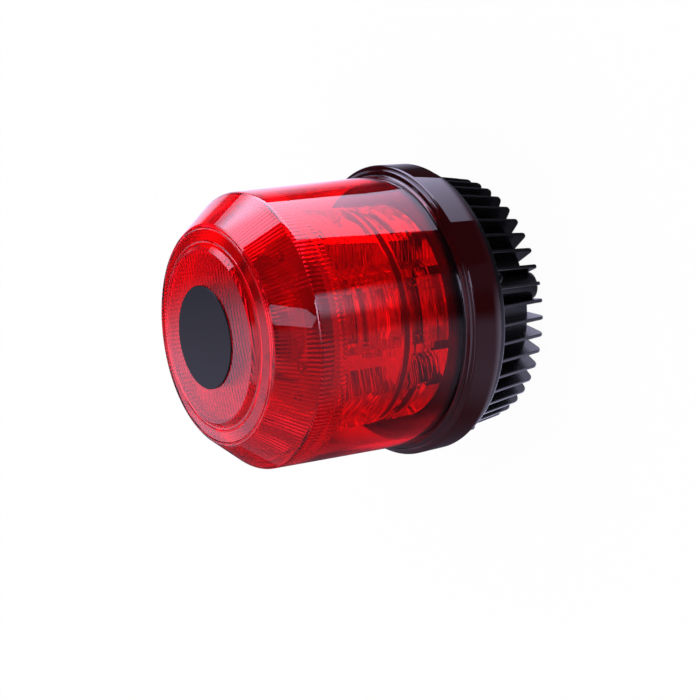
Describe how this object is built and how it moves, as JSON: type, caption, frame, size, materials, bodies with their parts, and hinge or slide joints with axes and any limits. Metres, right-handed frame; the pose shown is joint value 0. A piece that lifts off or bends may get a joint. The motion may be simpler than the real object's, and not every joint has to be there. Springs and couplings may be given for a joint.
{
  "type": "led warning beacon",
  "caption": "Cylindrical red warning beacon: finned black cast base with threaded mounting bosses, a one-piece red dome and a two-tier LED reflector stack inside.",
  "frame": {"origin": "centre of the mounting plane at the fins' back ends", "axes": "+Z along the beacon's axis towards the dome; -Y through the first mounting boss"},
  "size_m": [0.1499, 0.1498, 0.161],
  "materials": {
    "black_casting": "die-cast aluminium, satin black powder coat",
    "steel": "zinc plated steel",
    "black_rubber": "matt black rubber",
    "circuit_board": "green solder resist",
    "capacitor_sleeve": "shrink sleeve",
    "inductor_winding": "enamelled copper winding",
    "package_black": "moulded package",
    "terminal_green": "moulded terminal block",
    "aluminium": "milled aluminium",
    "red_lens": "clear red polycarbonate, polished",
    "label_black": "plain black disc",
    "white_board": "white solder resist",
    "led_package": "white package with a phosphor lens",
    "metallised": "vacuum metallised moulding",
    "clear_lens": "clear polycarbonate",
    "tray_black": "moulded black plastic"
  },
  "bodies": {
    "root": {"heat_sink_base": "black_casting", "mount_inserts": "steel", "cable_grommet": "black_rubber", "driver_board": "circuit_board", "driver_capacitors": "capacitor_sleeve", "driver_inductor": "inductor_winding", "driver_transistors": "package_black", "terminal_block": "terminal_green", "led_header": "package_black", "driver_screws": "steel", "heat_spreader_plate": "aluminium", "plate_screws": "steel", "dome_seal": "black_rubber", "lens_dome": "red_lens", "dome_screws": "steel", "label_disc": "label_black", "led_column": "aluminium", "column_screws": "steel", "lower_leds": "led_package", "upper_leds": "led_package", "lower_reflector": "metallised", "upper_reflector": "metallised", "tier_divider": "tray_black", "lower_lens_bars": "clear_lens", "upper_lens_bars": "clear_lens", "reflector_tray": "tray_black", "top_cap": "metallised", "cap_screws": "steel", "led_board_1": "white_board", "led_board_2": "white_board", "led_board_3": "white_board", "led_board_4": "white_board", "led_board_5": "white_board", "led_board_6": "white_board"}
  },
  "joints": []
}
